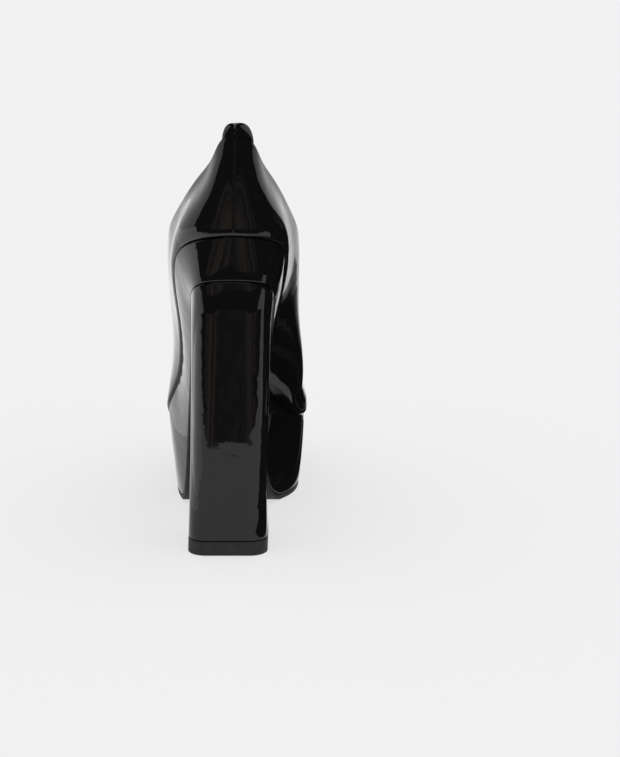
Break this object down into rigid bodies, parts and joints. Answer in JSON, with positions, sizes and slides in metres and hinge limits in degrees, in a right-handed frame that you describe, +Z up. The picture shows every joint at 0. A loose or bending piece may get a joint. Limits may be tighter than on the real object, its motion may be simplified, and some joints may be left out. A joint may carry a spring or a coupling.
{
  "type": "high heel pump",
  "caption": "Black patent platform pump with a tall block heel, wrapped platform, lined upper and a small tab over the back seam; left foot.",
  "frame": {"origin": "middle of the heel's tread, on the ground", "axes": "+Z up, +Y towards the toe, +X towards the inner side of the left foot"},
  "size_m": [0.0737, 0.2009, 0.2199],
  "materials": {
    "patent_leather": "black patent, mirror gloss",
    "lining_leather": "smooth semi-matt lining leather",
    "stiffener": "matt",
    "tape": "woven",
    "fibre_board": "pressed fibre, matt",
    "cork": "granular, matt",
    "foam": "fine-celled, matt",
    "heel_plastic": "moulded",
    "steel": "bright",
    "sole_rubber": "matt",
    "top_lift_rubber": "matt, fine grain"
  },
  "bodies": {
    "root": {"upper": "patent_leather", "back_tab": "patent_leather", "topline_tape": "tape", "heel_counter": "stiffener", "toe_puff": "stiffener", "quarter_lining": "lining_leather", "vamp_lining": "lining_leather", "insole_board": "fibre_board", "steel_shank": "steel", "shank_rivet_rear": "steel", "shank_rivet_front": "steel", "forefoot_filler": "cork", "heel_pad": "foam", "forefoot_pad": "foam", "sock_liner": "lining_leather", "sole_core": "cork", "sole_cover": "patent_leather", "outsole": "sole_rubber", "heel_core": "heel_plastic", "heel_cover": "patent_leather", "heel_breast_cover": "patent_leather", "top_lift": "top_lift_rubber", "top_lift_pin_rear": "steel", "top_lift_pin_front": "steel", "heel_screw": "steel", "heel_nail_1": "steel", "heel_nail_2": "steel", "heel_nail_3": "steel", "heel_nail_4": "steel"}
  },
  "joints": []
}
